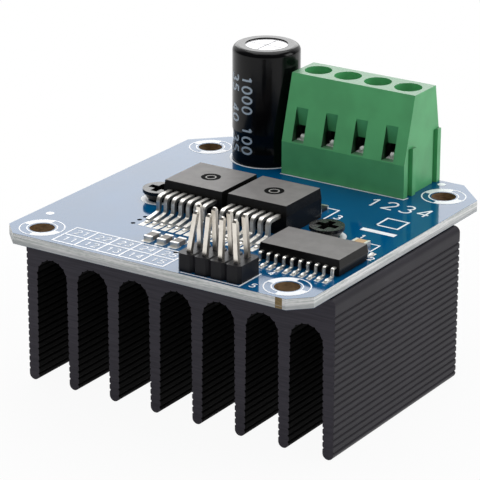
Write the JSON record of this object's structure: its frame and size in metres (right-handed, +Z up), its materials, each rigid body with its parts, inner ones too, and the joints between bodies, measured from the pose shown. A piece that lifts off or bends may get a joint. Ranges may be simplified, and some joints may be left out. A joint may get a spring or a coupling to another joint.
{
  "type": "motor driver module",
  "caption": "Motor driver board on a finned heatsink, with power chips, a pin header, a tall capacitor and a screw terminal block.",
  "frame": {"origin": "middle of the footprint at the fins' tips", "axes": "+X to the right along the board's front edge, +Y from the pin header to the screw terminals, +Z up from the fins to the parts on the board"},
  "size_m": [0.0516, 0.0522, 0.043],
  "materials": {
    "anodised_aluminium": "dark anodised, satin, with fine extrusion lines",
    "thermal_sheet": "soft grey sheet, matte",
    "solder_mask": "blue solder mask over glass fibre, glossy",
    "black_steel": "black oxide steel, semi gloss",
    "bright_aluminium": "plain drawn aluminium, satin",
    "black_sleeve": "shrunk film, glossy",
    "seal_rubber": "moulded rubber, matte",
    "tinned_wire": "tinned wire, bright",
    "green_plastic": "moulded polyamide, satin",
    "tinned_strip": "tinned brass, satin",
    "black_plastic": "moulded polyester, satin",
    "plated_pins": "plated square wire, bright",
    "chip_compound": "moulded epoxy, fine matte",
    "tinned_copper": "tinned copper, satin",
    "logic_compound": "moulded epoxy, fine matte",
    "grey_ceramic": "fired ceramic, satin",
    "tan_ceramic": "fired ceramic, satin",
    "dark_ceramic": "coated ceramic, satin",
    "tinned_ends": "tinned, satin",
    "solder": "solder, bright and smooth",
    "plated_screw": "zinc plated steel, satin",
    "plated_cage": "nickel plated steel, bright"
  },
  "bodies": {
    "module": {"heatsink": "anodised_aluminium", "thermal_pad": "thermal_sheet", "circuit_board": "solder_mask", "heatsink_screws": "black_steel", "capacitor_can": "bright_aluminium", "capacitor_sleeve": "black_sleeve", "capacitor_seal": "seal_rubber", "capacitor_leads": "tinned_wire", "terminal_housing": "green_plastic", "terminal_contacts": "tinned_strip", "header_base": "black_plastic", "header_pins": "plated_pins", "left_chip_body": "chip_compound", "left_chip_tab": "tinned_copper", "left_chip_leads": "tinned_copper", "right_chip_body": "chip_compound", "right_chip_tab": "tinned_copper", "right_chip_leads": "tinned_copper", "logic_chip_body": "logic_compound", "logic_chip_leads": "tinned_copper", "front_capacitors": "grey_ceramic", "side_capacitor": "tan_ceramic", "corner_resistor": "dark_ceramic", "small_part_ends": "tinned_ends", "solder_joints": "solder"},
    "clamp_screw_1": {"clamp_screw_1": "plated_screw"},
    "clamp_screw_2": {"clamp_screw_2": "plated_screw"},
    "clamp_screw_3": {"clamp_screw_3": "plated_screw"},
    "clamp_screw_4": {"clamp_screw_4": "plated_screw"},
    "clamp_cage_1": {"clamp_cage_1": "plated_cage"},
    "clamp_cage_2": {"clamp_cage_2": "plated_cage"},
    "clamp_cage_3": {"clamp_cage_3": "plated_cage"},
    "clamp_cage_4": {"clamp_cage_4": "plated_cage"}
  },
  "joints": [
    {"name": "screw_turn_1", "type": "hinge", "parent": "module", "child": "clamp_screw_1", "pos_m": [-0.00244, 0.02175, 0.0382], "axis": [0, 0, -1], "range_deg": [0, 1152]},
    {"name": "cage_rise_1", "type": "slide", "parent": "module", "child": "clamp_cage_1", "axis": [0, 0, 1], "range_m": [0, 0.0016]},
    {"name": "screw_turn_2", "type": "hinge", "parent": "module", "child": "clamp_screw_2", "pos_m": [0.00264, 0.02175, 0.0382], "axis": [0, 0, -1], "range_deg": [0, 1152]},
    {"name": "cage_rise_2", "type": "slide", "parent": "module", "child": "clamp_cage_2", "axis": [0, 0, 1], "range_m": [0, 0.0016]},
    {"name": "screw_turn_3", "type": "hinge", "parent": "module", "child": "clamp_screw_3", "pos_m": [0.00772, 0.02175, 0.0382], "axis": [0, 0, -1], "range_deg": [0, 1152]},
    {"name": "cage_rise_3", "type": "slide", "parent": "module", "child": "clamp_cage_3", "axis": [0, 0, 1], "range_m": [0, 0.0016]},
    {"name": "screw_turn_4", "type": "hinge", "parent": "module", "child": "clamp_screw_4", "pos_m": [0.0128, 0.02175, 0.0382], "axis": [0, 0, -1], "range_deg": [0, 1152]},
    {"name": "cage_rise_4", "type": "slide", "parent": "module", "child": "clamp_cage_4", "axis": [0, 0, 1], "range_m": [0, 0.0016]}
  ],
  "couplings": [
    {"joint": "screw_turn_1", "follows": "cage_rise_1", "rad_per_m": 12566},
    {"joint": "screw_turn_2", "follows": "cage_rise_2", "rad_per_m": 12566},
    {"joint": "screw_turn_3", "follows": "cage_rise_3", "rad_per_m": 12566},
    {"joint": "screw_turn_4", "follows": "cage_rise_4", "rad_per_m": 12566}
  ]
}
